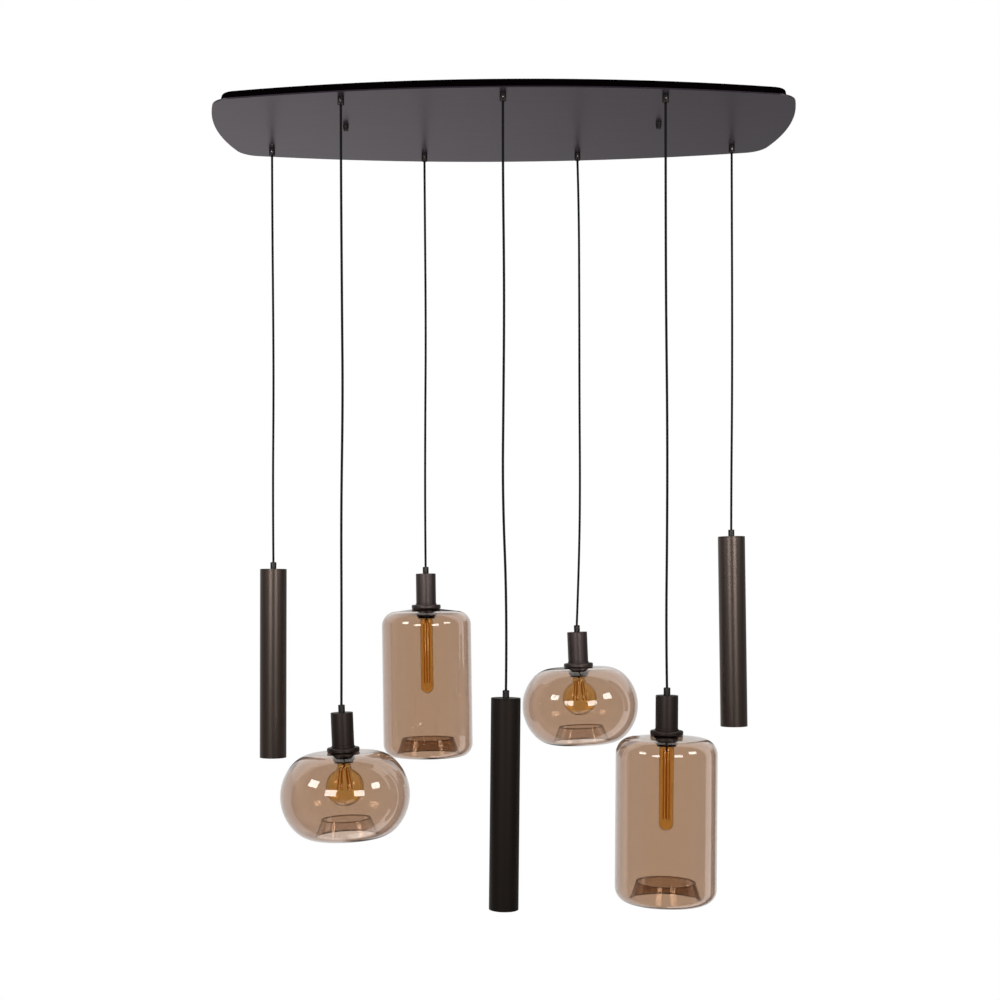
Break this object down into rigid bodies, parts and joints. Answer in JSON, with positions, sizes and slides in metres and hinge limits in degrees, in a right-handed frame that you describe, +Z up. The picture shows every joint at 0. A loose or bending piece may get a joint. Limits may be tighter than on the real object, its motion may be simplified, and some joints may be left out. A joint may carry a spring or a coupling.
{
  "type": "cluster pendant",
  "caption": "Ceiling light with an oval metal plate, long black cables in two rows, smoke glass oval and jar shades and slim metal spot tubes.",
  "frame": {"origin": "middle of the four ceiling screw holes, in the ceiling plane", "axes": "+Z up into the ceiling, +X along the plate to the viewer's right, +Y to the back row of cables"},
  "size_m": [1.2798, 0.65, 1.7253],
  "materials": {
    "gunmetal_plate": "satin, fine brushed grain",
    "black_box": "matt black lacquer",
    "zinc_steel": "bright zinc",
    "dark_bronze": "satin brushed, dark bronze",
    "tube_bronze": "satin brushed, dark bronze",
    "white_plastic": "moulded",
    "lead_sheath": "soft sheath",
    "black_cable": "braided sleeve",
    "black_plastic": "moulded",
    "smoke_glass": "clear smoke brown",
    "amber_glass": "clear amber",
    "lamp_brass": "rolled",
    "white_ceramic": "unglazed",
    "spot_glass": "faceted reflector"
  },
  "bodies": {
    "root": {"canopy_plate": "gunmetal_plate", "canopy_box": "black_box", "ceiling_straps": "zinc_steel", "cap_nuts": "dark_bronze", "ceiling_grips": "dark_bronze", "grip_locknuts": "zinc_steel", "grip_screws": "zinc_steel", "terminal_block": "white_plastic", "canopy_leads": "lead_sheath"},
    "cable_1": {"cable_1": "black_cable"},
    "pendant_1": {"cord_grip_1": "dark_bronze", "spot_holder_1": "white_ceramic", "spot_lamp_1": "spot_glass", "tube_shade_1": "tube_bronze"},
    "cable_2": {"cable_2": "black_cable"},
    "pendant_2": {"bulb_2": "amber_glass", "cord_grip_2": "dark_bronze", "glass_shade_2": "smoke_glass", "holder_cap_2": "dark_bronze", "lamp_base_2": "lamp_brass", "lampholder_2": "black_plastic", "shade_flange_2": "dark_bronze", "shade_ring_2": "black_plastic"},
    "cable_3": {"cable_3": "black_cable"},
    "pendant_3": {"bulb_3": "amber_glass", "cord_grip_3": "dark_bronze", "glass_shade_3": "smoke_glass", "holder_cap_3": "dark_bronze", "lamp_base_3": "lamp_brass", "lampholder_3": "black_plastic", "shade_flange_3": "dark_bronze", "shade_ring_3": "black_plastic"},
    "cable_4": {"cable_4": "black_cable"},
    "pendant_4": {"cord_grip_4": "dark_bronze", "spot_holder_4": "white_ceramic", "spot_lamp_4": "spot_glass", "tube_shade_4": "tube_bronze"},
    "cable_5": {"cable_5": "black_cable"},
    "pendant_5": {"bulb_5": "amber_glass", "cord_grip_5": "dark_bronze", "glass_shade_5": "smoke_glass", "holder_cap_5": "dark_bronze", "lamp_base_5": "lamp_brass", "lampholder_5": "black_plastic", "shade_flange_5": "dark_bronze", "shade_ring_5": "black_plastic"},
    "cable_6": {"cable_6": "black_cable"},
    "pendant_6": {"bulb_6": "amber_glass", "cord_grip_6": "dark_bronze", "glass_shade_6": "smoke_glass", "holder_cap_6": "dark_bronze", "lamp_base_6": "lamp_brass", "lampholder_6": "black_plastic", "shade_flange_6": "dark_bronze", "shade_ring_6": "black_plastic"},
    "cable_7": {"cable_7": "black_cable"},
    "pendant_7": {"cord_grip_7": "dark_bronze", "spot_holder_7": "white_ceramic", "spot_lamp_7": "spot_glass", "tube_shade_7": "tube_bronze"}
  },
  "joints": [
    {"name": "swing_1", "type": "hinge", "parent": "root", "child": "cable_1", "pos_m": [-0.536, 0.139, -0.04], "axis": [1, 0, 0], "range_deg": [-6, 6]},
    {"name": "drop_1", "type": "slide", "parent": "cable_1", "child": "pendant_1", "axis": [0, 0, 1], "range_m": [0, 0.4], "deforming": ["cable_1"]},
    {"name": "swing_2", "type": "hinge", "parent": "root", "child": "cable_2", "pos_m": [-0.3405, -0.191, -0.04], "axis": [1, 0, 0], "range_deg": [-6, 6]},
    {"name": "drop_2", "type": "slide", "parent": "cable_2", "child": "pendant_2", "axis": [0, 0, 1], "range_m": [0, 0.4], "deforming": ["cable_2"]},
    {"name": "swing_3", "type": "hinge", "parent": "root", "child": "cable_3", "pos_m": [-0.181, 0.187, -0.04], "axis": [1, 0, 0], "range_deg": [-6, 6]},
    {"name": "drop_3", "type": "slide", "parent": "cable_3", "child": "pendant_3", "axis": [0, 0, 1], "range_m": [0, 0.4], "deforming": ["cable_3"]},
    {"name": "swing_4", "type": "hinge", "parent": "root", "child": "cable_4", "pos_m": [0, -0.2065, -0.04], "axis": [1, 0, 0], "range_deg": [-6, 6]},
    {"name": "drop_4", "type": "slide", "parent": "cable_4", "child": "pendant_4", "axis": [0, 0, 1], "range_m": [0, 0.4], "deforming": ["cable_4"]},
    {"name": "swing_5", "type": "hinge", "parent": "root", "child": "cable_5", "pos_m": [0.181, 0.187, -0.04], "axis": [1, 0, 0], "range_deg": [-6, 6]},
    {"name": "drop_5", "type": "slide", "parent": "cable_5", "child": "pendant_5", "axis": [0, 0, 1], "range_m": [0, 0.4], "deforming": ["cable_5"]},
    {"name": "swing_6", "type": "hinge", "parent": "root", "child": "cable_6", "pos_m": [0.3405, -0.191, -0.04], "axis": [1, 0, 0], "range_deg": [-6, 6]},
    {"name": "drop_6", "type": "slide", "parent": "cable_6", "child": "pendant_6", "axis": [0, 0, 1], "range_m": [0, 0.4], "deforming": ["cable_6"]},
    {"name": "swing_7", "type": "hinge", "parent": "root", "child": "cable_7", "pos_m": [0.536, 0.139, -0.04], "axis": [1, 0, 0], "range_deg": [-6, 6]},
    {"name": "drop_7", "type": "slide", "parent": "cable_7", "child": "pendant_7", "axis": [0, 0, 1], "range_m": [0, 0.4], "deforming": ["cable_7"]}
  ]
}
